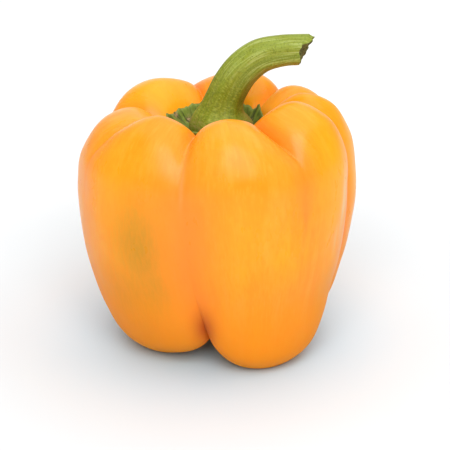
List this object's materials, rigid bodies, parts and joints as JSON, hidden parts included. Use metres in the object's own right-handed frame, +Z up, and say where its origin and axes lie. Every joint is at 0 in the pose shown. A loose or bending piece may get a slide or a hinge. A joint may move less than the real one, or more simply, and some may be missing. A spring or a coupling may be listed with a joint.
{
  "type": "bell pepper",
  "caption": "Orange bell pepper standing on its lobe tips, with a lobed fruit, a dished green calyx in the hollow of its shoulder and a thick green stem bent to one side.",
  "frame": {"origin": "on the surface that the pepper stands on, below the middle of its bounding box", "axes": "+Z up along the stem axis, +X to the right, the way the stem bends, -Y to the front, where the two largest lobes meet"},
  "size_m": [0.0881, 0.0825, 0.1023],
  "materials": {
    "orange_skin": "smooth waxy fruit skin, orange with yellower and redder patches and one faint olive patch, soft gloss",
    "calyx_green": "matt dark green leaf tissue with radial ribs and dried brown edges",
    "stem_green": "matt yellow-green stalk with lengthwise ridges and fine pale flecks, dull brown-green at the cut"
  },
  "bodies": {
    "root": {"fruit": "orange_skin", "calyx": "calyx_green", "stem": "stem_green"}
  },
  "joints": []
}
